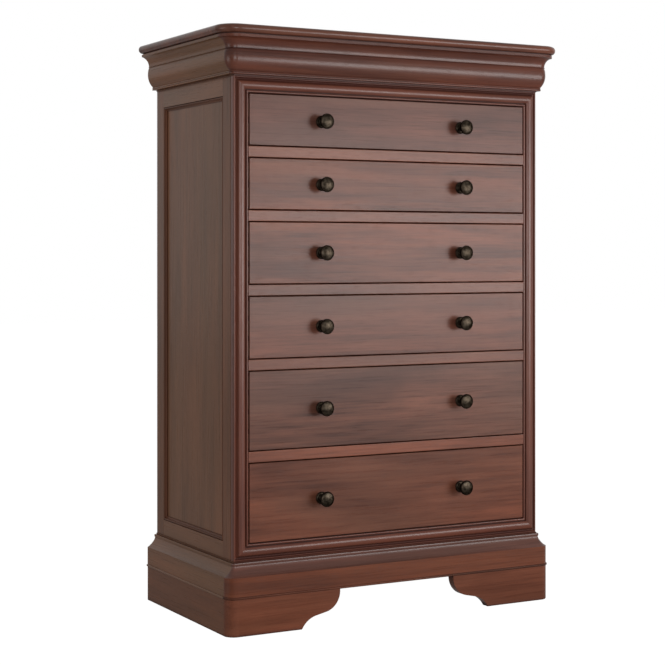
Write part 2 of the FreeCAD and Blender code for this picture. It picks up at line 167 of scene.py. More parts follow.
def new_group(name, inputs, outputs):
    """An empty shader group with its named inputs and outputs."""
    group = bpy.data.node_groups.new(name, "ShaderNodeTree")
    for way, sockets in (("INPUT", inputs), ("OUTPUT", outputs)):
        for socket, kind in sockets.items():
            group.interface.new_socket(name=socket, in_out=way, socket_type="NodeSocket" + kind)
    return group, group.nodes.new("NodeGroupInput"), group.nodes.new("NodeGroupOutput")


def feed(tree, socket, value):
    """Links a socket to another one, or sets it to a plain value."""
    if isinstance(value, bpy.types.NodeSocket):
        tree.links.new(value, socket)
    else:
        socket.default_value = value


def math_node(tree, operation, first, second, clamp=False):
    """A Math node whose inputs are sockets or plain numbers."""
    node = tree.nodes.new("ShaderNodeMath")
    node.operation = operation
    node.use_clamp = clamp
    feed(tree, node.inputs[0], first)
    feed(tree, node.inputs[1], second)
    return node.outputs[0]


def product(tree, first, second, clamp=False):
    """One value times another."""
    return math_node(tree, "MULTIPLY", first, second, clamp)


def total(tree, first, second, clamp=False):
    """One value added to another."""
    return math_node(tree, "ADD", first, second, clamp)


def less(tree, first, second):
    """One value less another."""
    return math_node(tree, "SUBTRACT", first, second)


def stretched_noise(tree, vector, scale, detail=2.0, roughness=0.5, distortion=0.0):
    """Noise with its own scale on each axis, so that it can be drawn out along the grain."""
    stretch = tree.nodes.new("ShaderNodeVectorMath")
    stretch.operation = "MULTIPLY"
    tree.links.new(vector, stretch.inputs[0])
    stretch.inputs[1].default_value = scale
    noise = tree.nodes.new("ShaderNodeTexNoise")
    noise.inputs["Scale"].default_value = 1.0
    noise.inputs["Detail"].default_value = detail
    noise.inputs["Roughness"].default_value = roughness
    noise.inputs["Distortion"].default_value = distortion
    tree.links.new(stretch.outputs[0], noise.inputs["Vector"])
    return noise.outputs["Fac"]


def remapped(tree, value, low, high, to_low=0.0, to_high=1.0):
    """A value stretched smoothly from one range to another."""
    node = tree.nodes.new("ShaderNodeMapRange")
    node.interpolation_type = "SMOOTHSTEP"
    feed(tree, node.inputs["Value"], value)
    for socket, number in (("From Min", low), ("From Max", high), ("To Min", to_low), ("To Max", to_high)):
        node.inputs[socket].default_value = number
    return node.outputs["Result"]


def mixed(tree, factor, first, second):
    """A colour mix whose inputs are sockets or plain values."""
    node = tree.nodes.new("ShaderNodeMix")
    node.data_type = "RGBA"
    feed(tree, node.inputs[0], factor)
    feed(tree, node.inputs[6], first)
    feed(tree, node.inputs[7], second)
    return node.outputs[2]


def opaque(color):
    """A colour as a socket takes it, with its alpha."""
    return (*color, 1)


def make_wood_group():
    """Wood with its grain along the first axis: broad figure, streaks and short dark pores."""
    group, given, result = new_group(
        "wood grain",
        {
            "Vector": "Vector", "Light": "Color", "Dark": "Color", "Brown": "Color",
            "Figure": "Float", "Pores": "Float", "Gloss": "Float",
        },
        {"Color": "Color", "Roughness": "Float", "Height": "Float"},
    )
    vector = given.outputs["Vector"]
    dark = given.outputs["Dark"]
    figure = stretched_noise(group, vector, figure_scale, detail=3, roughness=0.55, distortion=0.9)
    bands = stretched_noise(group, vector, band_scale, detail=3, roughness=0.6, distortion=0.35)
    streaks = stretched_noise(group, vector, streak_scale, detail=3, roughness=0.6)
    pores = stretched_noise(group, vector, pore_scale, detail=1)
    clouds = stretched_noise(group, vector, cloud_scale, distortion=0.5)

    broad = product(group, remapped(group, figure, *noise_range), figure_share)
    middle = product(group, remapped(group, bands, *noise_range), band_share)
    fine = product(group, remapped(group, streaks, *noise_range), streak_share)
    tone = total(group, total(group, broad, middle), fine)
    contrast = product(group, less(group, tone, 0.5), given.outputs["Figure"])
    tone = total(group, contrast, 0.5, clamp=True)
    color = mixed(group, tone, dark, given.outputs["Light"])

    streaky_clouds = total(group, clouds, product(group, streaks, cloud_streaks))
    brown_share = remapped(group, streaky_clouds, *brown_range)
    browned = mixed(group, product(group, tone, brown_tone), dark, given.outputs["Brown"])
    color = mixed(group, product(group, brown_share, brown_strength), color, browned)
    pore_strength = product(group, remapped(group, pores, *pore_range), given.outputs["Pores"])
    color = mixed(group, pore_strength, color, dark)
    group.links.new(color, result.inputs["Color"])

    rough = total(group, given.outputs["Gloss"], product(group, pore_strength, pore_dulling))
    rough = total(group, rough, product(group, fine, streak_dulling))
    group.links.new(rough, result.inputs["Roughness"])
    height = less(group, product(group, fine, streak_height), pore_strength)
    group.links.new(height, result.inputs["Height"])
    return group


def make_painted_recess_shade_group():
    """A mask of the grooves and inner corners, where the wood is painted darker as shade and its polish
    dulled.
    """
    group, given, result = new_group(
        "painted_recess_shade", {"Reach": "Float", "Strength": "Float"}, {"Mask": "Float"},
    )
    openness = group.nodes.new("ShaderNodeAmbientOcclusion")
    openness.samples = painted_shade_samples
    group.links.new(given.outputs["Reach"], openness.inputs["Distance"])
    closed = remapped(group, less(group, 1.0, openness.outputs["AO"]), *painted_shade_range)
    mask = product(group, closed, given.outputs["Strength"], clamp=True)
    group.links.new(mask, result.inputs["Mask"])
    return group


def make_edge_group():
    """A patchy mask of the sharp edges: painted highlight on the wood, rubbed bronze on the knobs."""
    group, given, result = new_group(
        "edge wear", {"Vector": "Vector", "Radius": "Float", "Strength": "Float"}, {"Mask": "Float"},
    )
    bevel = group.nodes.new("ShaderNodeBevel")
    bevel.samples = edge_samples
    group.links.new(given.outputs["Radius"], bevel.inputs["Radius"])
    surface = group.nodes.new("ShaderNodeNewGeometry")
    likeness = group.nodes.new("ShaderNodeVectorMath")
    likeness.operation = "DOT_PRODUCT"
    group.links.new(bevel.outputs["Normal"], likeness.inputs[0])
    group.links.new(surface.outputs["Normal"], likeness.inputs[1])
    edge = remapped(group, less(group, 1.0, likeness.outputs["Value"]), *edge_range)
    patches = stretched_noise(group, given.outputs["Vector"], patch_scale, detail=3)
    patchy_edge = product(group, edge, remapped(group, patches, *patch_range, *patch_wear_and_highlight))
    mask = product(group, patchy_edge, given.outputs["Strength"], clamp=True)
    group.links.new(mask, result.inputs["Mask"])
    return group


wood_group = make_wood_group()
painted_recess_shade_group = make_painted_recess_shade_group()
edge_group = make_edge_group()


# Materials

def placed_group(tree, group, **values):
    """A node group set in a material with its own values."""
    node = tree.nodes.new("ShaderNodeGroup")
    node.node_tree = group
    for name, value in values.items():
        feed(tree, node.inputs[name], value)
    return node


def new_material(name):
    """A material that holds only its Principled shader and its output."""
    material = bpy.data.materials.new(name)
    material.use_nodes = True
    tree = material.node_tree
    tree.nodes.clear()
    output = tree.nodes.new("ShaderNodeOutputMaterial")
    shader = tree.nodes.new("ShaderNodeBsdfPrincipled")
    tree.links.new(shader.outputs[0], output.inputs["Surface"])
    return material, tree, shader


# Turns that bring the way of the grain, along X, Y or Z, onto the first axis
grain_turns = {
    "x": (0, 0, 0),
    "y": (0, 0, math.radians(-90)),
    "z": (0, math.radians(90), 0),
}


def wood_vector(tree, grain, cut):
    """Where the wood is cut from: place on the piece with the grain's way first."""
    source = tree.nodes.new("ShaderNodeMapping")
    source.vector_type = "POINT"
    if grain == "run":
        place = tree.nodes.new("ShaderNodeUVMap")
        place.uv_map = "along the moulding"
        tree.links.new(place.outputs[0], source.inputs["Vector"])
    else:
        place = tree.nodes.new("ShaderNodeTexCoord")
        tree.links.new(place.outputs["Object"], source.inputs["Vector"])
        source.inputs["Rotation"].default_value = grain_turns[grain]
    source.inputs["Location"].default_value = [cut * spacing for spacing in cut_spacing]
    return source.outputs[0]


def make_wood(
    name, tones, grain, cut, figure=1.15, gloss=0.27, painted_recess_shade=0.85, wear_and_painted_highlight=0.25, specular=0.12,
):
    """Wood with its figure and pores, painted shade in the recesses and a painted highlight a little lighter
    along the edges.
    """
    material, tree, shader = new_material(name)
    light, dark, brown = tones
    vector = wood_vector(tree, grain, cut)
    wood = placed_group(
        tree, wood_group, Vector=vector, Light=opaque(light), Dark=opaque(dark), Brown=opaque(brown),
        Figure=figure, Pores=pore_darkness, Gloss=gloss,
    )
    hollow = placed_group(tree, painted_recess_shade_group, Reach=painted_shade_reach, Strength=painted_recess_shade)
    edge = placed_group(tree, edge_group, Vector=vector, Radius=edge_radius, Strength=wear_and_painted_highlight)
    # Painted shade: the wood darkens towards a near-black colour in the recesses
    color = mixed(tree, hollow.outputs["Mask"], wood.outputs["Color"], opaque(painted_recess_shade_colour))
    painted_edge_highlight = product(tree, edge.outputs["Mask"], less(tree, 1.0, hollow.outputs["Mask"]))
    # Painted highlight: the wood lightens along its sharp edges outside the recesses
    color = mixed(tree, painted_edge_highlight, color, opaque(channel * painted_highlight_lightness for channel in light))
    tree.links.new(color, shader.inputs["Base Color"])
    dulled = product(tree, hollow.outputs["Mask"], recess_dulling)
    tree.links.new(total(tree, wood.outputs["Roughness"], dulled), shader.inputs["Roughness"])
    bump = tree.nodes.new("ShaderNodeBump")
    bump.inputs["Strength"].default_value = relief_strength
    bump.inputs["Distance"].default_value = grain_relief
    tree.links.new(wood.outputs["Height"], bump.inputs["Height"])
    tree.links.new(bump.outputs["Normal"], shader.inputs["Normal"])
    shader.inputs["Specular IOR Level"].default_value = specular
    return material


def make_bronze(name, dark, light, wear_and_painted_highlight, gloss):
    """Antique bronze: a clouded patina, brighter where fingers rub the edges."""
    material, tree, shader = new_material(name)
    vector = tree.nodes.new("ShaderNodeTexCoord").outputs["Object"]
    clouds = stretched_noise(tree, vector, patina_scale, detail=4, roughness=0.6)
    patina = remapped(tree, clouds, *patina_range)
    edge = placed_group(tree, edge_group, Vector=vector, Radius=edge_radius, Strength=wear_and_painted_highlight)
    color = mixed(tree, patina, opaque(dark), opaque(light))
    color = mixed(tree, edge.outputs["Mask"], color, opaque(bronze_rubbed))
    tree.links.new(color, shader.inputs["Base Color"])
    rough = total(tree, product(tree, patina, patina_dulling), gloss)
    tree.links.new(rough, shader.inputs["Roughness"])
    shader.inputs["Metallic"].default_value = 1.0
    shader.inputs["Specular Tint"].default_value = opaque(bronze_mirror)
    return material


def make_steel():
    """Plain steel of the knob screws."""
    material, tree, shader = new_material("screw steel")
    vector = tree.nodes.new("ShaderNodeTexCoord").outputs["Object"]
    grit = stretched_noise(tree, vector, grit_scale)
    color = mixed(tree, grit, opaque(steel_dark), opaque(steel_light))
    tree.links.new(color, shader.inputs["Base Color"])
    rough = remapped(tree, grit, *grit_range, *steel_roughness)
    tree.links.new(rough, shader.inputs["Roughness"])
    shader.inputs["Metallic"].default_value = 1.0
    return material


def tinted(tones, tint):
    """The light, dark and brown tones of a wood, each channel multiplied by its share."""
    return [tuple(channel * share for channel, share in zip(tone, tint)) for tone in tones]


# Settings of the unpolished hidden woods, and of the sides with their softer sheen
unpolished = {"gloss": 0.52, "painted_recess_shade": 0.4, "wear_and_painted_highlight": 0.1, "figure": 0.9, "specular": 0.3}
softer = {"figure": 0.95, "specular": 0.10}

run_wood = make_wood(
    "mahogany moulding, front", moulding_tones, "run", cut=0.3, painted_recess_shade=1.25, wear_and_painted_highlight=0.1, specular=0.17,
)
base_run_wood = make_wood("mahogany base moulding, front", base_tones, "run", cut=8.1, specular=0.17)
# The base cove, greyed as a painted sheen
cove_wood_painted_sheen = make_wood("mahogany base cove, greyed as painted sheen", cove_tones_painted_sheen, "run", cut=8.6, specular=0.17)
# The frame's lighter copy of the moulding wood is a painted sheen; its uprights get less painted shade in
# their hollows than its top and bottom
frame_tones_painted_sheen = tinted(moulding_tones, frame_tint_painted_sheen)
frame_run_wood = make_wood(
    "mahogany moulding, frame, lightened as painted sheen", frame_tones_painted_sheen, "run", cut=2.6, painted_recess_shade=1.35, specular=0.18,
)
upright_run_wood = make_wood(
    "mahogany moulding, uprights of the frame", frame_tones_painted_sheen, "run", cut=2.6, painted_recess_shade=0.25, specular=0.19,
)
side_run_tones = tinted(side_tones, side_moulding_tint)
side_run_wood = make_wood("mahogany moulding, sides", side_run_tones, "run", cut=1.1, wear_and_painted_highlight=0.1, **softer)
rail_wood = make_wood("mahogany rails", front_tones, "x", cut=2.2, specular=0.145)
stile_wood = make_wood("mahogany stiles", tinted(side_tones, stile_tint), "z", cut=3.4, **softer)
side_rail_wood = make_wood("mahogany side rails", side_tones, "y", cut=4.1, **softer)
panel_wood = make_wood("mahogany side panels", side_tones, "z", cut=5.6, **softer)
# Dark wood as painted shade, on the drawers' edges and on the base moulding's bead and ledge
painted_shade_wood = make_wood(
    "mahogany with painted shade, drawer edges and base lines", tinted(front_tones, painted_shade_tint), "x", cut=2.9, wear_and_painted_highlight=0, painted_recess_shade=1.0, specular=0.05,
)
foot_front_wood = make_wood(
    "mahogany foot fronts", foot_front_tones, "x", cut=3.9, figure=0.95, specular=0.09,
)
foot_side_wood = make_wood(
    "mahogany foot sides", foot_side_tones, "y", cut=4.9, figure=1.2, specular=0.07,
)
panel_moulding_wood = make_wood(
    "mahogany moulding, panels", panel_moulding_tones, "run", cut=7.2, wear_and_painted_highlight=0, figure=0.95, specular=0.04,
)
drawer_wood = make_wood("poplar of the drawer sides", poplar_tones, "y", cut=6.3, **unpolished)
drawer_end_wood = make_wood("poplar of the drawer backs", poplar_tones, "x", cut=7.7, **unpolished)
frame_wood = make_wood("pine of the casing", pine_tones, "x", cut=8.8, **unpolished)
runner_wood = make_wood("pine of the runners", pine_tones, "y", cut=9.4, **unpolished)
back_wood = make_wood("stained back board", back_tones, "z", cut=10.9, **unpolished)
back_rail_wood = make_wood("stained back rail", back_tones, "x", cut=11.6, **unpolished)
bronze = make_bronze(
    "antique bronze", dark=(0.007, 0.005, 0.0035), light=(0.027, 0.020, 0.014), wear_and_painted_highlight=0.7, gloss=0.29,
)
# A much darker bronze for the knobs' rims, a painted dark reflection
rim_bronze_painted_dark = make_bronze(
    "antique bronze, rim with painted dark reflection", dark=(0.003, 0.002, 0.0015), light=(0.010, 0.007, 0.005),
    wear_and_painted_highlight=0.1, gloss=0.36,
)
face_bronze = make_bronze(
    "antique bronze, rubbed face", dark=(0.009, 0.0066, 0.0046), light=(0.030, 0.0235, 0.0170),
    wear_and_painted_highlight=0, gloss=0.30,
)
steel = make_steel()


# Pieces

class Outline:
    """The outline of a moulding or a turning, drawn vertex by vertex in the plane of the first two axes."""

    def __init__(self, start):
        self.bm = bmesh.new()
        self.around = self.bm.verts.layers.float.new("around")
        self.along = self.bm.verts.layers.float.new("along")
        self.tip = self.bm.verts.new((*start, 0))

    def _reached(self, vertex):
        """Notes how far round the outline a new vertex lies, and goes on from it."""
        vertex[self.around] = self.tip[self.around] + (vertex.co - self.tip.co).length
        self.tip = vertex

    def line(self, across, rise):
        """A straight stretch to a place."""
        made = bmesh.ops.extrude_vert_indiv(self.bm, verts=[self.tip])
        vertex = made["verts"][0]
        vertex.co = (across, rise, 0)
        self._reached(vertex)
        return self

    def bow(self, across, rise, share, steps=8):
        """A round stretch to a place, which bows by a share of its chord to the left of its way."""
        start = self.tip.co.copy()
        way = Vector((across, rise, 0)) - start
        half_angle = 2 * math.atan(2 * share)
        to_centre = Vector((way.y, -way.x, 0)) / (2 * math.tan(half_angle))
        centre = start + way / 2 + to_centre
        turn = Matrix.Rotation(-2 * half_angle / steps, 4, "Z")
        for _ in range(steps):
            made = bmesh.ops.extrude_vert_indiv(self.bm, verts=[self.tip])
            vertex = made["verts"][0]
            bmesh.ops.rotate(self.bm, verts=[vertex], cent=centre, matrix=turn)
            self._reached(vertex)
        return self

    def closed(self):
        """Joins the last vertex to the first one."""
        self.bm.verts.ensure_lookup_table()
        self.bm.edges.new((self.tip, self.bm.verts[0]))
        return self


def axes(origin, first, second, third):
    """The matrix that sets an outline's axes in a place."""
    matrix = Matrix((first, second, third)).transposed().to_4x4()
    matrix.translation = origin
    return matrix


def step_on(bm, edges, move, advance, along):
    """Extrudes a row of edges once, moves the new row and notes how far along the moulding it lies."""
    made = bmesh.ops.extrude_edge_only(bm, edges=edges)["geom"]
    verts = [item for item in made if isinstance(item, bmesh.types.BMVert)]
    bmesh.ops.transform(bm, matrix=move, verts=verts)
    for vertex in verts:
        vertex[along] += advance
    new_edges = [item for item in made if isinstance(item, bmesh.types.BMEdge)]
    return [edge for edge in new_edges if all(vertex in verts for vertex in edge.verts)]


def swept(outline, start, moves):
    """Sweeps a closed outline from a start through several moves, and closes both its ends."""
    bm, along, around = outline.bm, outline.along, outline.around
    bmesh.ops.transform(bm, matrix=start, verts=bm.verts)
    first_row = list(bm.edges)
    row = first_row
    for move, advance in moves:
        row = step_on(bm, row, move, advance, along)
    mapping = bm.loops.layers.uv.new("along the moulding")
    for face in bm.faces:
        for loop in face.loops:
            loop[mapping].uv = (loop.vert[along], loop.vert[around])
    for ends in (first_row, row):
        bmesh.ops.contextual_create(bm, geom=ends)
    return bm


def finished(bm, name, body, material, *nodes):
    """Makes a piece of a bmesh, lets it ride on its body and stand for its solids."""
    bmesh.ops.remove_doubles(bm, verts=bm.verts, dist=merge_distance)
    bmesh.ops.recalc_face_normals(bm, faces=bm.faces)
    mesh = bpy.data.meshes.new(name)
    bm.to_mesh(mesh)
    bm.free()
    for polygon in mesh.polygons:
        polygon.use_smooth = True
    mesh.set_sharp_from_angle(angle=smooth_angle)
    piece = bpy.data.objects.new(name, mesh)
    bpy.context.scene.collection.objects.link(piece)
    mesh.materials.append(material)
    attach(piece, body)
    if nodes:
        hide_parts(*nodes)
    return piece


def together(meshes):
    """Several bmeshes as one."""
    whole = meshes[0]
    for extra in meshes[1:]:
        copied = bpy.data.meshes.new("extra")
        extra.to_mesh(copied)
        extra.free()
        whole.from_mesh(copied)
        bpy.data.meshes.remove(copied)
    return whole


def paint(node, material):
    """Gives its material to a solid that is shown as it is."""
    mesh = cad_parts[node].data
    mesh.materials.clear()
    mesh.materials.append(material)


def corner_turns(corner, reach):
    """The moves round one corner of the casing, as steps of a quarter turn."""
    step = math.radians(90) / round_corner_steps
    turn = Matrix.Translation(corner) @ Matrix.Rotation(step, 4, "Z") @ Matrix.Translation(-corner)
    return [(turn, step * reach)] * round_corner_steps


def wrapped_front(outline, z, reach):
    """A moulding that runs along the front and round both front corners."""
    left = Vector((-casing_x, front_y, z))
    right = Vector((casing_x, front_y, z))
    moves = corner_turns(left, reach)
    moves += [(Matrix.Translation(right - left), casing_width)]
    moves += corner_turns(right, reach)
    return swept(outline, axes(left, LEFT, UP, BACK), moves)


def side_run(outline, z, side):
    """A moulding along one side of the casing."""
    start = axes(Vector((casing_x * side.x, front_y, z)), side, UP, FRONT)
    return swept(outline, start, [(Matrix.Translation(BACK * casing_depth), casing_depth)])


def mitred(outline_maker, corner, across, out, width, height):
    """Four lengths mitred round a rectangle, one bmesh each: lower, far side, upper, near side."""
    lengths = []
    turns = ((across, UP, width), (UP, -across, height), (-across, DOWN, width), (DOWN, across, height))
    for way, inward, length in turns:
        start = axes(corner, inward + way, out, way)
        far = corner + way * length
        end = axes(far, inward - way, out, way)
        lengths.append(swept(outline_maker(), start, [(end @ start.inverted(), length)]))
        corner = far
    return lengths


# Top board

def top_outline():
    """The top board's edge: flat below and above, with a half-round nose."""
    thickness = top_board_top - top_board_bottom
    flat = top_board_edge - casing_x - thickness / 2
    return Outline((0, 0)).line(flat, 0).bow(flat, thickness, -0.5, steps=14).line(0, thickness).closed()


def make_top():
    """The top board: its nosed edge along the front and both sides, and its flat middle."""
    parts = [wrapped_front(top_outline(), top_board_bottom, top_reach)]
    parts += [side_run(top_outline(), top_board_bottom, side) for side in (LEFT, RIGHT)]
    middle = bmesh.new()
    bmesh.ops.create_cube(middle, size=1)
    place = Matrix.Translation((0, (front_y + back_y) / 2, (top_board_top + top_board_bottom) / 2))
    size = Matrix.Diagonal((casing_width, casing_depth, top_board_top - top_board_bottom, 1))
    bmesh.ops.transform(middle, matrix=place @ size, verts=middle.verts)
    parts.append(middle)
    finished(together(parts), "top_board_nosed", "casing", top_wood, "top_board")


top_wood = make_wood("mahogany top", tinted(front_tones, top_tint), "x", cut=12.5, specular=0.19)
make_top()


# Cornice, frame and base mouldings

def cornice_outline():
    """The cornice from below: a recess, a lip, a bulge, a narrow waist with a bead, a cove and fillets."""
    return (
        Outline((0, 0))
        .line(0.0012, 0).line(0.0012, 0.0026).line(0.0112, 0.0026).bow(0.0116, 0.0050, -0.12, steps=4)
        .line(0.0104, 0.0053).line(0.0104, 0.0060).line(0.0114, 0.0064).bow(0.0104, 0.0094, -0.10, steps=4)
        .bow(0.0218, 0.0412, -0.119, steps=13).bow(0.0194, 0.0524, -0.05).line(0.0207, 0.0534)
        .line(0.0196, 0.0543).bow(0.0354, 0.0754, 0.17, steps=12).line(0.0366, 0.0754).line(0.0366, 0.0808)
        .line(0.0334, 0.0808).line(0.0334, 0.0830).line(0, 0.0830).closed()
    )


# Heights on the base moulding where its bead, its flat face and its nib end, and how far below the nib's end
# a face still counts as its ledge
base_bead_rise = 0.0050
base_fascia_rise = 0.0434
base_ledge_rise = 0.0704
ledge_tolerance = 0.0002


def base_outline():
    """The base moulding from below: a bead, a flat face, a cove, a nib and a narrow ledge."""
    return (
        Outline((0, 0))
        .line(0.0228, 0).bow(0.0228, base_bead_rise, -0.5, steps=8).line(0.0228, base_fascia_rise)
        .line(0.0220, base_fascia_rise)
        .bow(0.0086, 0.0558, 0.05).bow(0.0048, 0.0637, 0.055, steps=5).line(0.0048, 0.0648)
        .line(0.0060, 0.0648).bow(0.0060, base_ledge_rise, -0.10, steps=4).line(0.0016, base_ledge_rise)
        .line(0.0016, 0.0732).line(0, 0.0732).closed()
    )


def frame_outline():
    """The frame moulding: down its outer edge, along its back, and over its bead, rounding and hollow."""
    return (
        Outline((0.0007, 0))
        .bow(0, -0.0007, -0.2, steps=4).line(0, -0.0032).line(0.0020, -0.0038).line(0.0020, -0.0050)
        .line(0, -0.0056).line(0, -0.0142).line(0.0020, -0.0150).line(0.0020, -0.0160).line(0.0330, -0.0160)
        .line(0.0330, -0.0060).line(0.0327, -0.0060).line(0.0327, -0.0010).bow(0.0280, -0.0010, -0.30)
        .line(0.0280, -0.0048).line(0.0260, -0.0048).line(0.0260, -0.0008)
        .bow(0.0152, 0.0030, -0.12).bow(0.0102, 0.0013, -0.06, steps=6).bow(0.0060, -0.0044, 0.08, steps=6)
        .bow(0.0030, -0.0012, 0.12, steps=6).line(0.0025, 0).closed()
    )


def panel_outline():
    """The small moulding in the corner of frame and panel: a hollow with a bead beside it."""
    return (
        Outline((0, -0.0057))
        .line(0.0090, -0.0057).line(0.0090, -0.0042).bow(0.0046, -0.0019, 0.18, steps=6)
        .line(0.0046, -0.0009).bow(0.0012, -0.0009, -0.32, steps=6)
        .line(0.0012, -0.0019).line(0, -0.0019).closed()
    )


def make_wrapped_moulding(outline, z, reach, name, front_wood):
    """A moulding in three lengths: the front with both rounded corners, and the sides."""
    front_bm = wrapped_front(outline(), z, reach)
    front_run = finished(front_bm, name + "_front_run", "casing", front_wood, name + "_front")
    for side, place in ((LEFT, "_left"), (RIGHT, "_right")):
        finished(side_run(outline(), z, side), name + place + "_run", "casing", side_run_wood, name + place)
    return front_run


def paint_base_front_shade_and_sheen(front_run, z):
    """Gives the base moulding's front its cove wood, greyed as painted sheen, and dark wood as painted shade
    on its bead and its ledge.
    """
    front_run.data.materials.append(cove_wood_painted_sheen)
    front_run.data.materials.append(painted_shade_wood)
    for polygon in front_run.data.polygons:
        rise = polygon.center.z - z
        if rise > base_ledge_rise - ledge_tolerance or rise < base_bead_rise:
            polygon.material_index = 2
        elif rise > base_fascia_rise:
            polygon.material_index = 1


def make_frame_moulding():
    """The moulding round the drawers, in four mitred lengths."""
    corner = Vector((-casing_x, front_y, frame_bottom))
    lengths = mitred(frame_outline, corner, RIGHT, FRONT, casing_width, frame_top - frame_bottom)
    woods = (frame_run_wood, upright_run_wood, frame_run_wood, upright_run_wood)
    for bm, place, wood in zip(lengths, ("bottom", "right", "top", "left"), woods):
        node = "frame_moulding_" + place
        finished(bm, node + "_run", "casing", wood, node)


def make_panel_moulding(side, place):
    """The moulding round one side panel, its four mitred lengths as one piece."""
    low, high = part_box("side_" + place + "_panel_moulding")
    across, start_y = (FRONT, high.y) if place == "left" else (BACK, low.y)
    corner = Vector((casing_x * side.x, start_y, low.z))
    lengths = mitred(panel_outline, corner, across, side, high.y - low.y, high.z - low.z)
    node = "side_" + place + "_panel_moulding"
    finished(together(lengths), "panel_moulding_" + place, "casing", panel_moulding_wood, node)


make_wrapped_moulding(cornice_outline, frame_top, cornice_reach, "cornice", run_wood)
base_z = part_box("base_moulding_front")[0].z
base_front = make_wrapped_moulding(base_outline, base_z, base_reach, "base_moulding", base_run_wood)
paint_base_front_shade_and_sheen(base_front, base_z)
make_frame_moulding()
make_panel_moulding(LEFT, "left")
make_panel_moulding(RIGHT, "right")


# Flat boards, eased along their edges

solid_merge_distance = 1e-5
flat_angle = math.radians(0.6)
eased_width = 0.0005
eased_angle = math.radians(40)


def eased(node, name, body, material, rounded=True):
    """A merged copy of a solid's mesh whose edges are eased with a fine bevel."""
    bm = bmesh.new()
    bm.from_mesh(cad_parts[node].data)
    bmesh.ops.remove_doubles(bm, verts=bm.verts, dist=solid_merge_distance)
    bmesh.ops.dissolve_limit(bm, angle_limit=flat_angle, verts=bm.verts, edges=bm.edges)
    piece = finished(bm, name, body, material, node)
    for polygon in piece.data.polygons:
        polygon.use_smooth = rounded
    bevel = piece.modifiers.new("eased edges", "BEVEL")
    bevel.width = eased_width
    bevel.segments = 2
    bevel.limit_method = "ANGLE"
    bevel.angle_limit = eased_angle
    bevel.harden_normals = rounded
    return piece


def make_boards():
    """The sides with their panels, the bracket feet and the rails between the drawers."""
    for place in ("left", "right"):
        sides = eased("side_" + place + "_frame", "side_frame_" + place, "casing", stile_wood, rounded=False)
        sides.data.materials.append(side_rail_wood)
        low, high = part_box("side_" + place + "_panel_moulding")
        for polygon in sides.data.polygons:
            if low.y < polygon.center.y < high.y:
                polygon.material_index = 1
        eased("side_" + place + "_panel", "side_panel_board_" + place, "casing", panel_wood, rounded=False)
        eased("foot_front_" + place, "foot_board_front_" + place, "casing", foot_front_wood)
        eased("foot_side_" + place, "foot_board_side_" + place, "casing", foot_side_wood)
    eased("drawer_rails", "drawer_rails_eased", "casing", rail_wood, rounded=False)


make_boards()


# Drawers, knobs and screws

# Depths on a knob where its rim, darkened as a painted dark reflection, and its rubbed face start, and the
# shares of a face's normal that point to the front on a flat face, on the dome and on a drawer front
knob_rim_depth = 0.0212
knob_face_depth = 0.0268
knob_flat_normal = 0.99999
knob_front_normal = 0.9
drawer_front_normal = 0.5


def knob_outline():
    """A knob from its centre at the drawer front: flange, waist, bell, rim, groove and low dome."""
    return (
        Outline((0, 0))
        .line(0.0118, 0).bow(0.0122, 0.0022, -0.3, steps=4).bow(0.0086, 0.0042, -0.16, steps=5)
        .bow(0.0058, 0.0070, 0.20, steps=6).line(0.0058, 0.0105).bow(0.0138, knob_rim_depth, 0.16, steps=8)
        .bow(0.0160, 0.0248, -0.14, steps=5).bow(0.0148, 0.0274, -0.2, steps=4).line(0.0138, 0.0274)
        .line(0.0136, knob_face_depth).line(0.0130, 0.0271).bow(0, 0.0292, -0.0402, steps=10)
    )


def screw_outline():
    """A round screw head."""
    return Outline((0, 0)).line(0.0042, 0).bow(0.0030, 0.0022, -0.2, steps=5).bow(0, 0.0026, -0.05, steps=3)


def turned(outline, place, first, axis):
    """Spins an open outline about its second axis, at a place on a drawer front."""
    bm = outline.bm
    matrix = axes(place, first, axis, first.cross(axis))
    bmesh.ops.transform(bm, matrix=matrix, verts=bm.verts)
    geom = list(bm.verts) + list(bm.edges)
    bmesh.ops.spin(
        bm, geom=geom, cent=place, axis=axis, angle=math.tau, steps=turning_steps,
        use_merge=True, use_duplicate=False,
    )
    return bm


def make_drawer_front(number, body):
    """A drawer front in its own tint, which is partly painted sheen, and its own figure, with painted shade
    on its edges.
    """
    # The tint is partly painted sheen
    tones = tinted(front_tones, drawer_tints_and_painted_sheen[number - 1])
    cut = drawer_cuts[number - 1]
    front_wood = make_wood("mahogany drawer front " + str(number), tones, "x", cut, figure=1.35)
    front = eased(body + "_front", body + "_front_eased", body, front_wood)
    # The edge faces take the dark wood as painted shade
    front.data.materials.append(painted_shade_wood)
    for polygon in front.data.polygons:
        if abs(polygon.normal.y) < drawer_front_normal:
            polygon.material_index = 1


def make_knobs(body):
    """Both knobs of a drawer, and the screws that hold them from inside."""
    low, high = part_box(body + "_knobs")
    radius = (high.z - low.z) / 2
    centre_z = (low.z + high.z) / 2
    inner_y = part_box(body + "_front")[1].y
    knobs, screws = [], []
    for x in (low.x + radius, high.x - radius):
        knobs.append(turned(knob_outline(), Vector((x, high.y, centre_z)), RIGHT, FRONT))
        screws.append(turned(screw_outline(), Vector((x, inner_y, centre_z)), RIGHT, BACK))
    turned_knobs = finished(together(knobs), body + "_knobs_turned", body, bronze, body + "_knobs")
    # The rims get the darker bronze as a painted dark reflection
    turned_knobs.data.materials.append(rim_bronze_painted_dark)
    turned_knobs.data.materials.append(face_bronze)
    for polygon in turned_knobs.data.polygons:
        depth = high.y - polygon.center.y
        domed = -knob_flat_normal < polygon.normal.y < -knob_front_normal
        if depth > knob_face_depth and domed:
            polygon.material_index = 2
        elif depth > knob_rim_depth:
            polygon.material_index = 1
    finished(together(screws), body + "_knob_screws", body, steel)


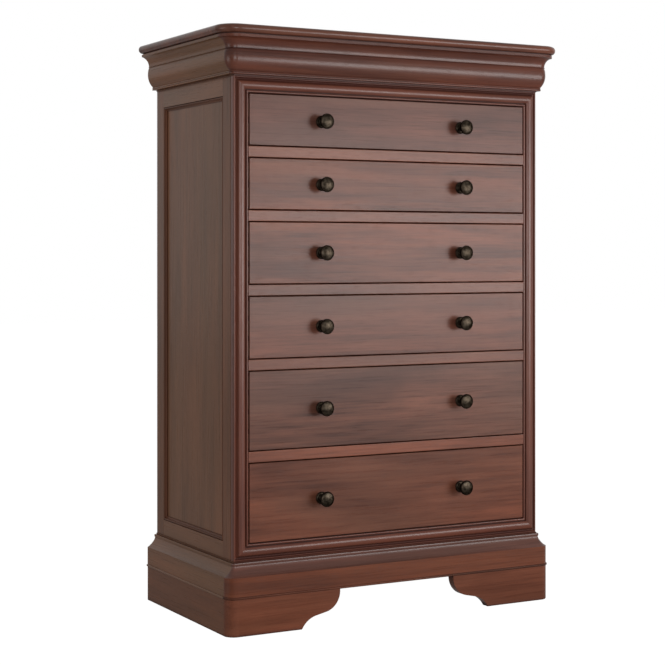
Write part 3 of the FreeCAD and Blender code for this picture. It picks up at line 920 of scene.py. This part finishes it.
def make_drawer(number):
    """One drawer: its front, knobs and screws, and the woods of its box."""
    body = "drawer_" + str(number)
    make_drawer_front(number, body)
    make_knobs(body)
    for part, wood in (("_sides", drawer_wood), ("_back", drawer_end_wood), ("_bottom", drawer_end_wood)):
        paint(body + part, wood)


for number in range(1, len(drawer_tints_and_painted_sheen) + 1):
    make_drawer(number)
for node, material in (
    ("drawer_runners", runner_wood),
    ("drawer_stops", rail_wood),
    # The drawer stops take the dark front wood as painted shade in the gaps round the drawers
    ("front_boards", rail_wood),
    ("cross_rails", frame_wood),
    ("bottom_board", frame_wood),
    ("back_panel", back_wood),
    ("base_back_rail", back_rail_wood),
    ("foot_blocks", frame_wood),
):
    paint(node, material)


# Floor, world, lamps and camera

# The floor, the shares of its own glow in what the camera sees and in what the polish mirrors, and how
# strongly the white surroundings light the chest
floor_size = 14
floor_grey = 0.6
floor_roughness = 0.9
floor_glow = 1.1
seen_share = 0.92
mirrored_share = 0.25
studio_fill = 0.27


def make_floor():
    """A pale floor that looks white and still takes the chest's shadow."""
    bm = bmesh.new()
    bmesh.ops.create_grid(bm, x_segments=1, y_segments=1, size=floor_size)
    mesh = bpy.data.meshes.new("floor")
    bm.to_mesh(mesh)
    bm.free()
    floor = bpy.data.objects.new("floor", mesh)
    bpy.context.scene.collection.objects.link(floor)
    material, tree, shader = new_material("pale floor")
    shader.inputs["Base Color"].default_value = (floor_grey, floor_grey, floor_grey, 1)
    shader.inputs["Roughness"].default_value = floor_roughness
    output = next(node for node in tree.nodes if node.type == "OUTPUT_MATERIAL")
    glow = tree.nodes.new("ShaderNodeEmission")
    glow.inputs["Strength"].default_value = floor_glow
    rays = tree.nodes.new("ShaderNodeLightPath")
    seen = math_node(tree, "MAXIMUM", rays.outputs["Is Camera Ray"], rays.outputs["Is Transmission Ray"])
    mirrored = product(tree, rays.outputs["Is Glossy Ray"], mirrored_share)
    share = math_node(tree, "MAXIMUM", product(tree, seen, seen_share), mirrored)
    mix = tree.nodes.new("ShaderNodeMixShader")
    tree.links.new(share, mix.inputs[0])
    tree.links.new(shader.outputs[0], mix.inputs[1])
    tree.links.new(glow.outputs[0], mix.inputs[2])
    tree.links.new(mix.outputs[0], output.inputs["Surface"])
    mesh.materials.append(material)


def make_world():
    """White surroundings where they are seen or mirrored, and a weaker even light on the chest."""
    world = bpy.data.worlds.new("pale studio")
    bpy.context.scene.world = world
    world.use_nodes = True
    tree = world.node_tree
    tree.nodes.clear()
    output = tree.nodes.new("ShaderNodeOutputWorld")
    background = tree.nodes.new("ShaderNodeBackground")
    rays = tree.nodes.new("ShaderNodeLightPath")
    seen = math_node(tree, "MAXIMUM", rays.outputs["Is Camera Ray"], rays.outputs["Is Glossy Ray"])
    seen = math_node(tree, "MAXIMUM", seen, rays.outputs["Is Transmission Ray"])
    strength = total(tree, product(tree, seen, 1 - studio_fill), studio_fill)
    tree.links.new(strength, background.inputs["Strength"])
    background.inputs["Color"].default_value = (1, 1, 1, 1)
    tree.links.new(background.outputs[0], output.inputs["Surface"])


def make_lamp(name, place, target, size, power):
    """A soft box that looks at a target."""
    data = bpy.data.lights.new(name, "AREA")
    data.shape = "RECTANGLE"
    data.size, data.size_y = size
    data.energy = power
    lamp = bpy.data.objects.new(name, data)
    lamp.location = place
    lamp.rotation_euler = (Vector(target) - Vector(place)).to_track_quat("-Z", "Y").to_euler()
    bpy.context.scene.collection.objects.link(lamp)


make_floor()
make_world()
make_lamp("low strip in front", place=(1.66, -2.75, 0.85), target=(0, 0, 0.8), size=(2.2, 0.96), power=101)
make_lamp("soft box by the camera", place=(-1.1, -3.4, 0.9), target=(0, 0, 0.8), size=(1.2, 0.8), power=50)
make_lamp("left fill", place=(-3.4, -0.2, 0.6), target=(0, 0, 0.55), size=(1.8, 1.2), power=32)

# The camera stands level. Its view is moved down by lens shift, so that upright lines stay upright.
camera_place = (-1.8116, -3.2026, 0.7764)
camera_turn = math.radians(28.84)
focal_length = 89.34
sensor_width = 36
view_shift = -0.1211


def make_camera():
    """The photograph's camera."""
    data = bpy.data.cameras.new("camera")
    data.lens = focal_length
    data.sensor_width = sensor_width
    data.shift_y = view_shift
    camera = bpy.data.objects.new("camera", data)
    camera.location = camera_place
    camera.rotation_euler = (math.radians(90), 0, -camera_turn)
    bpy.context.scene.collection.objects.link(camera)
    bpy.context.scene.camera = camera


make_camera()
bpy.context.scene.view_settings.view_transform = "Standard"
